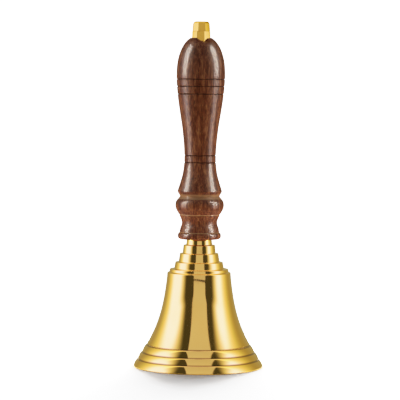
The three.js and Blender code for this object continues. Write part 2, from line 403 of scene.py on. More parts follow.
class Nodes:
    """Short calls for building a node tree. An input is given as a value or as the socket that feeds it."""

    def __init__(self, tree):
        self.tree = tree
        tree.nodes.clear()

    def add(self, kind, inputs=None, **settings):
        node = self.tree.nodes.new(kind)
        for key, value in settings.items():
            setattr(node, key, value)
        for key, value in (inputs or {}).items():
            self.feed(node.inputs[key], value)
        return node

    def feed(self, socket, value):
        if isinstance(value, bpy.types.NodeSocket):
            self.tree.links.new(value, socket)
        elif socket.type == "RGBA" and len(value) == 3:
            socket.default_value = (*value, 1)
        else:
            socket.default_value = value

    def math(self, operation, first, second=0.0, third=0.0, clamp=False):
        inputs = {0: first, 1: second, 2: third}
        return self.add("ShaderNodeMath", inputs, operation=operation, use_clamp=clamp).outputs[0]

    def away(self, value, middle):
        """Distance of the value from the middle."""
        return self.math("ABSOLUTE", self.math("SUBTRACT", value, middle))

    def mix(self, factor, first, second):
        """Colour between the first and the second."""
        node = self.add("ShaderNodeMix", {0: factor, 6: first, 7: second}, data_type="RGBA")
        return node.outputs[2]

    def blend(self, factor, first, second):
        """Number between the first and the second."""
        node = self.add("ShaderNodeMix", {0: factor, 2: first, 3: second}, data_type="FLOAT")
        return node.outputs[0]

    def span(self, value, low, high, to_low=0.0, to_high=1.0):
        """Smooth step from to_low to to_high as value goes from low to high."""
        inputs = {"Value": value, "From Min": low, "From Max": high, "To Min": to_low, "To Max": to_high}
        return self.add("ShaderNodeMapRange", inputs, interpolation_type="SMOOTHSTEP").outputs[0]

    def noise(self, vector, scale, detail=2.0, roughness=0.5, stretch=(1, 1, 1), distortion=0.0):
        """Noise on a stretched copy of the vector, with scale in cycles per metre."""
        stretched = self.add("ShaderNodeMapping", {"Vector": vector, "Scale": stretch}).outputs[0]
        inputs = {
            "Vector": stretched,
            "Scale": scale,
            "Detail": detail,
            "Roughness": roughness,
            "Distortion": distortion,
        }
        return self.add("ShaderNodeTexNoise", inputs).outputs["Fac"]

    def ramp(self, value, stops):
        """Colour at the value on a ramp of (position, colour) stops."""
        node = self.add("ShaderNodeValToRGB", {"Fac": value})
        elements = node.color_ramp.elements
        while len(elements) < len(stops):
            elements.new(0.5)
        for element, (position, tone) in zip(elements, stops):
            element.position = position
            element.color = (*tone, 1)
        return node.outputs[0]

    def bump(self, height, distance, strength=1.0, normal=None):
        inputs = {"Height": height, "Distance": distance, "Strength": strength}
        if normal is not None:
            inputs["Normal"] = normal
        return self.add("ShaderNodeBump", inputs).outputs[0]


def new_material(name):
    """An empty material and the calls that fill it."""
    material = bpy.data.materials.new(name)
    material.use_nodes = True
    return material, Nodes(material.node_tree)


def place_and_height(nodes):
    """The Object coordinates, and the same split into distance from the axis and height."""
    place = nodes.add("ShaderNodeTexCoord").outputs["Object"]
    parts = nodes.add("ShaderNodeSeparateXYZ", {0: place})
    across = nodes.math("MULTIPLY", parts.outputs[0], parts.outputs[0])
    across = nodes.math("MULTIPLY_ADD", parts.outputs[1], parts.outputs[1], across)
    radius = nodes.math("SQRT", across)
    return place, radius, parts.outputs[2]


def finish_surface(nodes, inputs):
    """Ends a material with one Principled surface."""
    surface = nodes.add("ShaderNodeBsdfPrincipled", inputs)
    nodes.add("ShaderNodeOutputMaterial", {"Surface": surface.outputs[0]})


def painted_shade_lines(nodes, height, lines, core, rim, depth):
    """Share of painted shade at each height: the depth within core of a line, fading to none at rim."""
    painted_shade = 0.0
    for line in lines:
        near = nodes.span(nodes.away(height, line), core, rim, depth, 0)
        painted_shade = nodes.math("MAXIMUM", near, painted_shade)
    return painted_shade


def polished_brass(name, settings, bright, warm=0.35, roughness=0.045, edge=(1.0, 1.0, 1.0), lines=()):
    """Mirror-bright brass under a thin lacquer: slow clouds of warmer tone and of polish, fine rings left
    by the buffing wheel, a few hairline scuffs, and painted shade, a dark brown, along the grooves at the
    heights given as lines. The edge is the colour of its reflections at a glancing angle."""
    material, nodes = new_material(name)
    place, radius, height = place_and_height(nodes)
    clouds = nodes.noise(place, 45, detail=3, roughness=0.55)
    tone = nodes.mix(nodes.span(clouds, 0.4, 0.75, 0, warm), bright, settings.brass_deep)
    # Painted shade: dark brown laid along the grooves between the bands.
    groove_shade = painted_shade_lines(nodes, height, lines, 0.35 * MM, 0.85 * MM, 0.75)
    tone = nodes.mix(groove_shade, tone, (0.30, 0.155, 0.03))
    ring_place = nodes.add("ShaderNodeCombineXYZ", {0: radius, 1: height}).outputs[0]
    rings = nodes.noise(ring_place, 2600, detail=2, roughness=0.6)
    scuffs = nodes.noise(place, 900, detail=1, roughness=0.4, stretch=(1, 1, 0.08), distortion=0.4)
    scuff = nodes.span(scuffs, 0.68, 0.8, 0, 0.06)
    gloss = nodes.math("ADD", nodes.span(clouds, 0.35, 0.7, roughness, roughness + 0.045), scuff)
    ripple = nodes.noise(place, 70, detail=1, stretch=(1, 1, 0.6))
    waves = nodes.bump(ripple, 0.02 * MM)
    normal = nodes.bump(rings, 0.0007 * MM, 0.6, waves)
    finish_surface(
        nodes,
        {
            "Base Color": tone,
            "Metallic": 1.0,
            "Specular Tint": (*edge, 1.0),
            "Roughness": gloss,
            "Normal": normal,
            "Coat Weight": settings.coat,
            "Coat Roughness": 0.04,
            "Coat IOR": 1.5,
        },
    )
    return material


def turned_brass(name, settings):
    """Brass as it left the lathe: concentric tool marks, dull patches and brown tarnish."""
    material, nodes = new_material(name)
    place, radius, height = place_and_height(nodes)
    ring_place = nodes.add("ShaderNodeCombineXYZ", {0: radius, 1: height}).outputs[0]
    marks = nodes.noise(ring_place, 1500, detail=3, roughness=0.7)
    patches = nodes.noise(place, 60, detail=5, roughness=0.6)
    brown = nodes.mix(nodes.span(patches, 0.45, 0.75, 0, 0.75), settings.brass_turned, (0.22, 0.12, 0.05))
    tone = nodes.mix(nodes.span(marks, 0.3, 0.7, 0, 0.35), brown, (0.42, 0.27, 0.11))
    gloss = nodes.span(patches, 0.3, 0.7, 0.26, 0.46)
    normal = nodes.bump(marks, 0.03 * MM, 0.8)
    finish_surface(nodes, {"Base Color": tone, "Metallic": 1.0, "Roughness": gloss, "Normal": normal})
    return material


def lacquered_wood(name, settings, bare_bands, shaded_rings):
    """Dark red-brown hardwood under gloss lacquer. Growth rings about a pith outside the handle are bent by
    slow noise; streaks, fibres, pores and flecks are noise drawn out along the grain. The bare_bands are
    (height, half width) of the turned grooves that show paler wood, and the last argument gives the heights
    of the scribed rings, which are darkened with painted shade."""
    material, nodes = new_material(name)
    place, _, height = place_and_height(nodes)
    bend = nodes.noise(place, 22, detail=2, stretch=(1, 1, 0.25))
    from_pith = {"Vector": place, "Location": (0.021, 0.034, 0), "Scale": (1, 1, 0.03)}
    rings = nodes.add(
        "ShaderNodeTexWave",
        {
            "Vector": nodes.add("ShaderNodeMapping", from_pith).outputs[0],
            "Scale": 62,
            "Distortion": nodes.math("MULTIPLY", bend, 9.0),
            "Detail": 3,
            "Detail Scale": 1.6,
            "Detail Roughness": 0.6,
        },
        wave_type="RINGS",
        rings_direction="Z",
    ).outputs["Fac"]
    streaks = nodes.noise(place, 520, detail=5, roughness=0.68, stretch=(1, 1, 0.05))
    fibres = nodes.noise(place, 1350, detail=3, roughness=0.6, stretch=(1, 1, 0.12))
    grain = nodes.math("ADD", nodes.math("MULTIPLY", rings, 0.14), nodes.math("MULTIPLY", streaks, 0.86))
    grain = nodes.math("ADD", grain, nodes.math("MULTIPLY_ADD", fibres, 1.1, -0.53))
    tone = nodes.ramp(
        grain,
        [
            (0.26, settings.wood_dark),
            (0.44, [0.5 * (a + b) for a, b in zip(settings.wood_dark, settings.wood_mid)]),
            (0.56, settings.wood_mid),
            (0.78, settings.wood_light),
        ],
    )
    pore_noise = nodes.noise(place, 1500, detail=1, roughness=0.4, stretch=(1, 1, 0.14))
    pores = nodes.span(pore_noise, 0.6, 0.68)
    tone = nodes.mix(nodes.math("MULTIPLY", pores, 0.75), tone, settings.wood_dark)
    fleck_noise = nodes.noise(place, 1150, detail=1, roughness=0.5, stretch=(1, 1, 0.2))
    flecks = nodes.span(fleck_noise, 0.62, 0.72, 0, 0.5)
    tone = nodes.mix(flecks, tone, settings.wood_light)
    wander = nodes.math("MULTIPLY_ADD", nodes.noise(place, 300, detail=2), 0.5 * MM, -0.25 * MM)
    bare = 0.0
    for middle, half_width in bare_bands:
        distance = nodes.away(nodes.math("ADD", height, wander), middle)
        bare = nodes.math("MAXIMUM", nodes.span(distance, 0.55 * half_width, half_width, 1, 0), bare)
    pale = nodes.mix(nodes.span(fibres, 0.35, 0.7, 0, 0.55), settings.wood_bare, settings.wood_light)
    tone = nodes.mix(nodes.math("MULTIPLY", bare, 0.85), tone, pale)
    # Painted shade: the scribed rings darkened towards near black.
    ring_shade = painted_shade_lines(nodes, height, shaded_rings, 0.2 * MM, 0.5 * MM, 0.8)
    tone = nodes.mix(ring_shade, tone, [0.4 * part for part in settings.wood_dark])
    relief = nodes.math("SUBTRACT", nodes.math("MULTIPLY", streaks, 0.35), pores)
    normal = nodes.bump(relief, 0.035 * MM, 0.55)
    skin = nodes.bump(nodes.noise(place, 160, detail=2, stretch=(1, 1, 0.35)), 0.05 * MM, 0.5)
    fuzz = nodes.math("SUBTRACT", fibres, nodes.math("MULTIPLY", pores, 0.5))
    skin = nodes.bump(fuzz, 0.02 * MM, 0.5, skin)
    gloss = nodes.blend(bare, nodes.span(grain, 0.3, 0.7, 0.34, 0.48), 0.6)
    finish_surface(
        nodes,
        {
            "Base Color": tone,
            "Roughness": gloss,
            "Normal": normal,
            "IOR": 1.5,
            "Specular IOR Level": 0.02,
            "Specular Tint": (1.0, 0.88, 0.72, 1.0),
            "Coat Weight": settings.lacquer,
            "Coat Roughness": 0.15,
            "Coat IOR": 1.5,
            "Coat Normal": skin,
        },
    )
    return material


def worked_steel(name, tone, dull=0.3):
    """Plated or drawn steel: fine drawing lines, grey blotches and small brown specks."""
    material, nodes = new_material(name)
    place = nodes.add("ShaderNodeTexCoord").outputs["Object"]
    blotches = nodes.noise(place, 220, detail=4, roughness=0.6)
    specks = nodes.span(nodes.noise(place, 900, detail=2), 0.66, 0.74, 0, 0.5)
    base = nodes.mix(nodes.span(blotches, 0.35, 0.7, 0, 0.45), tone, [0.62 * c for c in tone])
    base = nodes.mix(specks, base, (0.2, 0.12, 0.07))
    gloss = nodes.span(blotches, 0.3, 0.7, dull, dull + 0.16)
    lines = nodes.noise(place, 2400, detail=2, stretch=(1, 1, 0.1))
    normal = nodes.bump(lines, 0.008 * MM, 0.6)
    finish_surface(nodes, {"Base Color": base, "Metallic": 1.0, "Roughness": gloss, "Normal": normal})
    return material


# ------------------------------------------------------------------------------------------------- shapes


def flare_radius(height, cup):
    """Radius of the flared wall: r = r0 + a (d - k t (1 - exp(-d / t))) + b d^3, where d is the depth below
    the shoulder as a share of the shoulder's height. The k term straightens the wall just under the
    shoulder."""
    depth = (cup.shoulder_height - height) / cup.shoulder_height
    eased = depth - SHOULDER_EASE * SHOULDER_REACH * (1 - np.exp(-depth / SHOULDER_REACH))
    return cup.shoulder_radius + cup.flare_linear * eased + cup.flare_cubic * depth**3


def band_profile(cup):
    """The turned bands above the lip, from the lip up. Each band runs along the cone between the flare's
    end and the lip, swollen by bulge * sin(pi s)^0.8, and ends in a fine groove."""
    top = BAND_TOPS[-1]
    end = flare_radius(top, cup)
    groove_width = 0.05
    points = []
    for low, high in zip([LIP_HEIGHT, *BAND_TOPS[:-1]], BAND_TOPS):
        s = np.linspace(0, 1, 22)
        z = low + (high - low) * s
        cone = end + (MOUTH_RADIUS - end) * (top - z) / (top - LIP_HEIGHT)
        swell = cup.band_bulge * np.sin(np.pi * s) ** 0.8
        groove = cup.groove_depth * np.exp(-(((1 - s) / groove_width) ** 2))
        points.append(np.stack([cone + swell - groove, z], axis=-1))
    return np.vstack(points)


def cup_profile(cup):
    """Closed outline of the cup: foot, rounded lip, bands, flare, stepped crown, bore, ceiling and inner
    wall, which is the flare moved in by a wall that thickens evenly downwards. It also returns how many
    points the outside has, because the inside keeps its tool marks."""
    lip = rounded(
        [
            (cup.foot_inner, 0, 0),
            (cup.foot_outer, 0, 0.15 * MM),
            (MOUTH_RADIUS, 0.3 * MM, 0.2 * MM),
            (MOUTH_RADIUS - 0.1 * MM, LIP_HEIGHT, 0),
        ]
    )
    band_top, shoulder = BAND_TOPS[-1], cup.shoulder_height
    z = band_top + (shoulder - 1.0 * MM - band_top) * np.linspace(0.003, 1, 90)
    flare = np.stack([flare_radius(z, cup), z], axis=-1)
    crown = rounded(
        [
            (flare[-1, 0], flare[-1, 1], 0),
            (cup.shoulder_radius - 0.02 * MM, shoulder + 0.1 * MM, 0.5 * MM),
            *[(radius * MM, height * MM, cup.edge_round) for radius, height in CROWN_TIERS],
            (9.1 * MM, CROWN_TOP, 0.2 * MM),
            (BORE_RADIUS, CROWN_TOP, 0),
        ]
    )
    outside = np.vstack([lip, band_profile(cup)[1:], flare, crown[1:]])
    z = np.linspace(band_top, CEILING - 3 * MM, 60)
    depth = (shoulder - z) / (shoulder - band_top)
    wall = cup.wall_shoulder + (cup.wall_bow - cup.wall_shoulder) * depth
    inner = np.stack([flare_radius(z, cup) - wall, z], axis=-1)
    ceiling = rounded(
        [
            (inner[-1, 0], inner[-1, 1], 0),
            (inner[-1, 0] - 0.4 * MM, CEILING, 3 * MM),
            (BORE_RADIUS, CEILING, 0),
        ],
        12,
    )
    chamfer = rounded(
        [
            (inner[0, 0], inner[0, 1], 0),
            (cup.foot_inner - 0.5 * MM, 0.7 * MM, 0.3 * MM),
            (cup.foot_inner, 0, 0),
        ]
    )
    inside = np.vstack([ceiling[1:][::-1], inner[::-1], chamfer[1:-1]])
    return np.vstack([outside, inside]), len(outside)


def handle_outline(height):
    """Radius of the handle's outline at each height, by interpolation on the finely sampled stretches."""
    curves = [smooth(keys, 40 * len(keys)) for keys in (HANDLE_FOOT, HANDLE_COVE, HANDLE_BEAD)]
    outline = np.vstack([*curves, HANDLE_VEE, smooth(HANDLE_GRIP, 40 * len(HANDLE_GRIP))]) * MM
    return np.interp(height, outline[:, 1], outline[:, 0])


def handle_grid(handle):
    """The turned outline, less depth * (1 - distance / width) at each scribed ring, then the seat and the
    bore. The chip lowers the seat's lip by depth * cos^1.3 of the angle from the chip, made ragged by two
    sine waves and fading out down the seat."""
    base, top = HANDLE_LOW.z, HANDLE_HIGH.z
    rings = [(z * MM, handle.groove_depth) for z in SCRIBED_RINGS]
    rings += [(z * MM, 0.5 * handle.groove_depth) for z in PALE_RINGS]
    near = np.array([-1.5, -1.1, -1, -0.9, -0.5, -0.1, 0, 0.1, 0.5, 0.9, 1, 1.1, 1.5]) * handle.groove_width
    starts = [keys[0][1] for keys in (HANDLE_COVE, HANDLE_BEAD, HANDLE_VEE, HANDLE_GRIP)]
    corners = np.array([*starts, HANDLE_VEE[1][1]]) * MM
    z = np.concatenate(
        [
            *[np.linspace(low * MM, high * MM, count) for low, high, count in HANDLE_STEPS],
            *[ring + near for ring, _ in rings],
            corners,
            corners - 0.12 * MM,
            corners + 0.12 * MM,
        ]
    )
    z = np.unique(np.round(z, 6))
    radius = handle_outline(z)
    for ring, depth in rings:
        radius = radius - depth * np.clip(1 - np.abs(z - ring) / handle.groove_width, 0, 1)
    body = np.stack([radius, z + base], axis=-1)
    seat = rounded(
        [
            (body[-1, 0], body[-1, 1], 0),
            (handle.seat_radius + 0.3 * MM, top, 0.35 * MM),
            (handle.seat_radius - 0.2 * MM, top - 0.8 * MM, 0.3 * MM),
            (handle.seat_radius - 0.25 * MM, handle.seat_height, 0.1 * MM),
            (BORE_RADIUS, handle.seat_height, 0),
            (BORE_RADIUS, base, 0),
        ]
    )
    grid = revolve(np.vstack([body, seat[1:]]), handle.facets)
    angle = np.arctan2(grid[..., 1], grid[..., 0])
    off = (angle - handle.chip_turn + np.pi) % (2 * np.pi) - np.pi
    ragged = 1 + 0.12 * np.sin(9 * off) + 0.08 * np.sin(23 * off + 1)
    half_chip = math.radians(38)
    notch = np.cos(np.clip(off / half_chip, -1, 1) * np.pi / 2) ** 1.3 * ragged
    fade_from = handle.seat_height + 0.3 * MM
    lift = np.clip((grid[..., 2] - fade_from) / (top - handle.seat_height), 0, 1)
    grid[..., 2] -= handle.chip_depth * notch * lift
    return grid


def threaded_rod(clapper, low, high):
    """Rod whose radius is r0 - depth * w, where w is a triangle wave of height / pitch - angle / one turn,
    cut flat at crest and root, so that its crest is a helix. Past the part that shows, the rod is plain."""
    shown = 9 * MM
    threaded = np.arange(low, low + shown, 0.11 * MM)
    z = np.concatenate([threaded, np.linspace(low + shown + 0.2 * MM, high, 12)])
    angle = np.linspace(0, 2 * np.pi, 72, endpoint=False)
    turns = (z[:, None] - low) / clapper.thread_pitch - angle[None, :] / (2 * np.pi)
    wave = 1 - np.abs(2 * (turns % 1) - 1)
    depth = clapper.thread_depth * np.clip(1.25 * wave - 0.12, 0, 1)
    depth *= np.clip((low + shown - z) / MM, 0, 1)[:, None]
    end = np.clip((z - low) / (0.6 * MM), 0, 1)[:, None]
    r = ROD_RADIUS - np.maximum(depth, 0.7 * MM * (1 - end))
    return np.stack([r * np.cos(angle), r * np.sin(angle), z[:, None] + 0 * angle], axis=-1)


def nut_grid(sides, flats, box, turn, corner, chamfer, draft=0.0, bored=True):
    """Nut with flat sides. The outside runs from the foot to the top, narrowed by the draft on the way and
    by the chamfer at its top edge. Then the rows go down the round hole, or close over it if not bored."""
    low, high = box[0].z, box[1].z
    half = flats / 2
    neck = half - draft
    small = 0.06 * MM
    rows = [
        (half - small, low),
        (half - 0.5 * small, low + 0.6 * small),
        (half, low + 1.3 * small),
        (neck, high - 1.25 * chamfer),
        (neck - 0.12 * chamfer, high - 0.85 * chamfer),
        (neck - 0.5 * chamfer, high - 0.32 * chamfer),
        (neck - 0.85 * chamfer, high - 0.06 * chamfer),
        (neck - 1.15 * chamfer, high),
    ]
    grid = prism_rings(sides, [r for r, _ in rows], [z for _, z in rows], turn, corner)
    if not bored:
        return grid
    x, y = grid[-1, :, 0], grid[-1, :, 1]
    share_of_bore = BORE_RADIUS / np.hypot(x, y)
    hole = [np.stack([x * share_of_bore, y * share_of_bore, 0 * x + z], axis=-1) for z in (high, low)]
    return np.concatenate([grid, hole])


# ---------------------------------------------------------------------------------------------- operators


class HANDBELL_OT_cup(Operator):
    """Turn the brass cup with its bands and stepped crown"""

    bl_idname = "handbell.cup"
    bl_label = "Cup"

    def execute(self, context):
        bell = context.scene.handbell
        profile, outside = cup_profile(bell.cup)
        inside = np.arange(len(profile)) >= outside - 1
        outer = polished_brass("cup_polished", bell.finish, bell.finish.brass, lines=BAND_TOPS)
        materials = [outer, turned_brass("cup_turned", bell.finish)]
        shells = [(revolve(profile, bell.cup.facets), True, inside.astype(int))]
        make_piece("bell_cup_turned", "bell", ["bell_cup"], shells, materials)
        return {"FINISHED"}


class HANDBELL_OT_handle(Operator):
    """Turn the wooden handle with its beads, scribed rings and finial seat"""

    bl_idname = "handbell.handle"
    bl_label = "Handle"

    def execute(self, context):
        bell = context.scene.handbell
        base = HANDLE_LOW.z
        bands = [BARE_VEE, *[(z, PALE_HALF_WIDTH) for z in PALE_RINGS]]
        bands = [(base + z * MM, half_width * MM) for z, half_width in bands]
        rings = [base + z * MM for z in SCRIBED_RINGS]
        wood = lacquered_wood("handle_wood", bell.finish, bands, rings)
        shells = [(handle_grid(bell.handle), True, 0)]
        make_piece("handle_turned", "bell", ["handle"], shells, [wood])
        return {"FINISHED"}


class HANDBELL_OT_fixings(Operator):
    """Make the threaded rod with its eye, and the washer and nut under the crown"""

    bl_idname = "handbell.fixings"
    bl_label = "Rod and fixings"

    def execute(self, context):
        bell = context.scene.handbell
        steel = worked_steel("rod_steel", bell.finish.steel)
        eye_radius = (ROD_HIGH.y - ROD_LOW.y) / 2 - bell.clapper.eye_wire
        eye_height = ROD_LOW.z + eye_radius + bell.clapper.eye_wire
        thread_low = eye_height + eye_radius - 0.2 * MM
        shells = [
            (threaded_rod(bell.clapper, thread_low, ROD_HIGH.z), False, 0),
            (wire_ring((0, 0, eye_height), eye_radius, bell.clapper.eye_wire, "X"), True, 0),
        ]
        make_piece("tie_rod_threaded", "bell", ["tie_rod"], shells, [steel])
        low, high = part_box("crown_washer")
        washer = rounded(
            [
                (BORE_RADIUS, low.z, 0),
                (high.x, low.z, 0.25 * MM),
                (high.x, high.z, 0.25 * MM),
                (BORE_RADIUS, high.z, 0),
            ]
        )
        shells = [(revolve(washer, 96), True, 0)]
        make_piece("crown_washer_round", "bell", ["crown_washer"], shells, [steel])
        nut_flats = 13 * MM
        grid = nut_grid(6, nut_flats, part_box("crown_nut"), 0, 0.3 * MM, 0.5 * MM)
        make_piece("crown_nut_hexagon", "bell", ["crown_nut"], [(grid, True, 0)], [steel])
        return {"FINISHED"}


class HANDBELL_OT_finial(Operator):
    """Make the two octagonal nuts on top of the handle"""

    bl_idname = "handbell.finial"
    bl_label = "Finial"

    def execute(self, context):
        bell = context.scene.handbell
        finial = bell.finial
        bright = bell.finish.brass_finial
        edge = (0.6, 0.45, 0.25)
        brass = polished_brass("finial_brass", bell.finish, bright, warm=0.2, roughness=0.12, edge=edge)
        size = (8, finial.lock_flats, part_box("finial_lock_nut"), -finial.turn, finial.corner_round)
        shells = [(nut_grid(*size, 0.12 * MM, finial.draft), True, 0)]
        make_piece("finial_lock_octagon", "bell", ["finial_lock_nut"], shells, [brass])
        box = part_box("finial_cap_nut")
        box[0].z -= finial.joint
        size = (8, finial.cap_flats, box, finial.turn, finial.corner_round)
        shells = [(nut_grid(*size, finial.chamfer, finial.draft, bored=False), False, 0)]
        make_piece("finial_cap_octagon", "bell", ["finial_cap_nut"], shells, [brass])
        return {"FINISHED"}


class HANDBELL_OT_clapper(Operator):
    """Make the wire link, the clapper's stem and its ball"""

    bl_idname = "handbell.clapper"
    bl_label = "Clapper"

    def execute(self, context):
        bell = context.scene.handbell
        clapper = bell.clapper
        wire = worked_steel("clapper_wire", bell.finish.wire, 0.36)
        radius = (LINK_HIGH.x - LINK_LOW.x) / 2 - clapper.link_wire
        ring = wire_ring((0, 0, (LINK_LOW.z + LINK_HIGH.z) / 2), radius, clapper.link_wire, "Y", seam=0.18)
        make_piece("clapper_link_ring", "link", ["clapper_link"], [(ring, True, 0)], [wire])
        eye_radius = (STEM_HIGH.y - STEM_LOW.y) / 2 - clapper.stem_eye_wire
        eye_height = STEM_HIGH.z - clapper.stem_eye_wire - eye_radius
        eye = wire_ring((0, 0, eye_height), eye_radius, clapper.stem_eye_wire, "X")
        stem_top = eye_height - eye_radius
        rivet, collar = 2.75 * MM, 2.4 * MM
        foot, head = STEM_LOW.z, BALL_LOW.z - CLEARANCE
        shelf = BALL_HIGH.z + CLEARANCE
        thin = clapper.stem_radius
        stem = rounded(
            [
                (0.4 * MM, foot + 0.02 * MM, 0),
                (rivet - 0.5 * MM, foot + 0.1 * MM, 0.6 * MM),
                (rivet, head - 0.1 * MM, 0.35 * MM),
                (thin, head, 0.05 * MM),
                (thin, shelf, 0.1 * MM),
                (collar, shelf, 0.25 * MM),
                (collar, shelf + 0.9 * MM, 0.4 * MM),
                (thin, shelf + 1.8 * MM, 0.5 * MM),
                (thin * 0.92, stem_top - 2.5 * MM, 0.5 * MM),
                (thin * 1.05, stem_top - 0.6 * MM, 0.3 * MM),
                (thin * 0.6, stem_top + 0.5 * MM, 0),
            ]
        )
        shells = [(revolve(stem, 64), False, 0), (eye, True, 0)]
        make_piece("clapper_stem_riveted", "clapper", ["clapper_stem"], shells, [wire])
        ball_radius = (BALL_HIGH.x - BALL_LOW.x) / 2
        middle = (BALL_LOW.z + BALL_HIGH.z) / 2
        bore = clapper.ball_bore
        pole = math.acos(bore / ball_radius)
        lift = np.linspace(-pole, pole, 90)
        seam = 0.06 * MM * np.exp(-((lift / 0.03) ** 2))
        arc = np.stack([(ball_radius - seam) * np.cos(lift), middle + ball_radius * np.sin(lift)], axis=-1)
        brass = turned_brass("clapper_brass", bell.finish)
        shells = [(revolve(arc, 128), True, 0)]
        make_piece("clapper_ball_turned", "clapper", ["clapper_ball"], shells, [brass])
        return {"FINISHED"}


# ------------------------------------------------------------------------------------------------- studio

# The studio is laid out on the directions (x, y, z) of rays, with y < 0 in front of the bell. The front
# panel fills |x| < PANEL_EDGE - PANEL_TAPER * z + PANEL_SHIFT * x, and the dark gap beside it goes on to
# GAP_EDGE + GAP_SPREAD * (1 - z^2)^GAP_POWER. Below the heights in LOW, the gap is wider at both its edges.
PANEL_EDGE, PANEL_TAPER, PANEL_SHIFT = 0.41, 0.1, 0.1
GAP_EDGE, GAP_SPREAD, GAP_POWER = 0.325, 0.41, 0.65
LOW, LOW_WIDENING = (0.18, 0.27), 0.06
# How far from each edge the light starts and stops changing.
PANEL_BLUR = (-0.012, 0.012)
GAP_BLUR = (-0.1, 0.17)
# Height, slope and blur of the thin dark sill across the panel, and the heights where the panel ends below.
SILL_HEIGHT, SILL_SLOPE, SILL_BLUR = 0.095, 0.024, (0.009, 0.014)
PANEL_FOOT = (-0.08, -0.02)
# Where the side softboxes take over from the front, and where they fade out behind the bell.
SIDE_START = (-0.2, -0.1)
BACK_FADE, BACK_SHIFT = (-0.1, 0.75), 0.15
# Colours of the panel, the softboxes, their far sides and the room behind.
PANEL_TINT = (1.0, 0.97, 1.45)
SOFTBOX_TINT = (1.0, 0.97, 0.95)
SIDE_TINT = (1.0, 1.08, 3.6)
BACK_TINT = (1.05, 0.98, 0.55)


def panel_light(nodes, x, z, stage):
    """Brightness of the front panel: 0.97 + z / 2 - z^2 / 2 of its setting, crossed by the sill, and dark
    below its foot."""
    rise = nodes.math("MULTIPLY", z, nodes.math("MULTIPLY_ADD", z, -0.5, 0.5))
    panel = nodes.math("MULTIPLY", nodes.math("ADD", rise, 0.97), stage.panel)
    sill = nodes.away(nodes.math("MULTIPLY_ADD", x, -SILL_SLOPE, z), SILL_HEIGHT)
    panel = nodes.blend(nodes.span(sill, *SILL_BLUR), stage.gap, panel)
    return nodes.blend(nodes.span(z, *PANEL_FOOT), stage.gap, panel)


def studio_world(stage):
    """A dim panel in front, a dark gap on each side of it, and softboxes at the sides that fall off towards
    the back. Glossy rays see all this with the colour of each part, diffuse rays see it dimmer and without
    colour, and the camera sees a plain white backdrop."""
    world = bpy.data.worlds.new("studio")
    bpy.context.scene.world = world
    world.use_nodes = True
    # Only rays that leave a surface reach this light, so that each kind of ray gets its own brightness.
    world.cycles.sampling_method = "NONE"
    nodes = Nodes(world.node_tree)
    ray = nodes.add("ShaderNodeTexCoord").outputs["Generated"]
    parts = nodes.add("ShaderNodeSeparateXYZ", {0: ray})
    x, y, z = parts.outputs[0], parts.outputs[1], parts.outputs[2]
    side = nodes.math("ABSOLUTE", x)
    widening = nodes.span(z, *LOW, LOW_WIDENING, 0)
    panel_edge = nodes.math("MULTIPLY_ADD", z, -PANEL_TAPER, PANEL_EDGE)
    panel_edge = nodes.math("MULTIPLY_ADD", x, PANEL_SHIFT, panel_edge)
    panel_edge = nodes.math("SUBTRACT", panel_edge, widening)
    level = nodes.math("SUBTRACT", 1.0, nodes.math("MULTIPLY", z, z))
    gap_edge = nodes.math("MULTIPLY_ADD", nodes.math("POWER", level, GAP_POWER), GAP_SPREAD, GAP_EDGE)
    gap_edge = nodes.math("ADD", gap_edge, widening)
    past_panel = nodes.span(nodes.math("SUBTRACT", side, panel_edge), *PANEL_BLUR)
    past_gap = nodes.span(nodes.math("SUBTRACT", side, gap_edge), *GAP_BLUR)
    beside = nodes.blend(past_gap, stage.gap, stage.softbox)
    front = nodes.blend(past_panel, panel_light(nodes, x, z, stage), beside)
    fade = nodes.span(nodes.math("MULTIPLY_ADD", x, BACK_SHIFT, y), *BACK_FADE)
    back = nodes.blend(fade, stage.softbox, stage.behind)
    light = nodes.blend(nodes.span(y, *SIDE_START), front, back)
    far_side = nodes.math("POWER", nodes.math("SUBTRACT", past_gap, fade, clamp=True), 3.0)
    tint = nodes.mix(past_panel, PANEL_TINT, SOFTBOX_TINT)
    tint = nodes.mix(far_side, tint, SIDE_TINT)
    tint = nodes.mix(fade, tint, BACK_TINT)
    rays = nodes.add("ShaderNodeLightPath").outputs
    light = nodes.blend(rays["Is Diffuse Ray"], light, nodes.math("MULTIPLY", light, stage.fill))
    plain = nodes.math("MAXIMUM", rays["Is Diffuse Ray"], rays["Is Camera Ray"])
    tint = nodes.mix(plain, tint, (1.0, 1.0, 1.0))
    strength = nodes.blend(rays["Is Camera Ray"], light, stage.backdrop)
    background = nodes.add("ShaderNodeBackground", {"Color": tint, "Strength": strength})
    nodes.add("ShaderNodeOutputWorld", {"Surface": background.outputs[0]})


def floor_material():
    """White table top, very slightly mottled."""
    material, nodes = new_material("table_white")
    place = nodes.add("ShaderNodeTexCoord").outputs["Object"]
    mottle = nodes.span(nodes.noise(place, 9, detail=3), 0.3, 0.7)
    tone = nodes.mix(mottle, (0.93, 0.93, 0.935), (0.95, 0.95, 0.95))
    finish_surface(nodes, {"Base Color": tone, "Roughness": 0.9, "Specular IOR Level": 0.0})
    return material


# Low lamps behind the bell that light the table only, as (name, place, size, share of the key's power).
KEY_LAMPS = [
    ("key_low", (0.25, 3.0, 0.7), (2.0, 0.6), 0.56),
    ("key_wide", (0.25, 2.2, 0.16), (4.4, 0.2), 1.3),
    ("key_high", (0.0, 2.0, 1.6), (3.2, 0.8), 0.05),
]
KEY_AIM = (0, 0, 0.03)
# The lamps that light the wood only stand at (side, x, y). At each side are two upright strips that show in
# the lacquer, as (name, height of the middle, length, share of the strips' brightness), and a soft square.
WOOD_SIDES = [("left", -0.97, -0.14), ("right", 0.965, -0.17)]
STRIPS = [("high", 0.65, 0.96, 1.0), ("low", -0.04, 0.42, 0.3)]
STRIP_WIDTH = 0.5
STRIP_COLOUR = (1.0, 0.98, 0.9)
WASH_HEIGHT, WASH_SIZE = 0.3, (0.8, 0.8)
WOOD_AIM = (0, 0, 0.17)
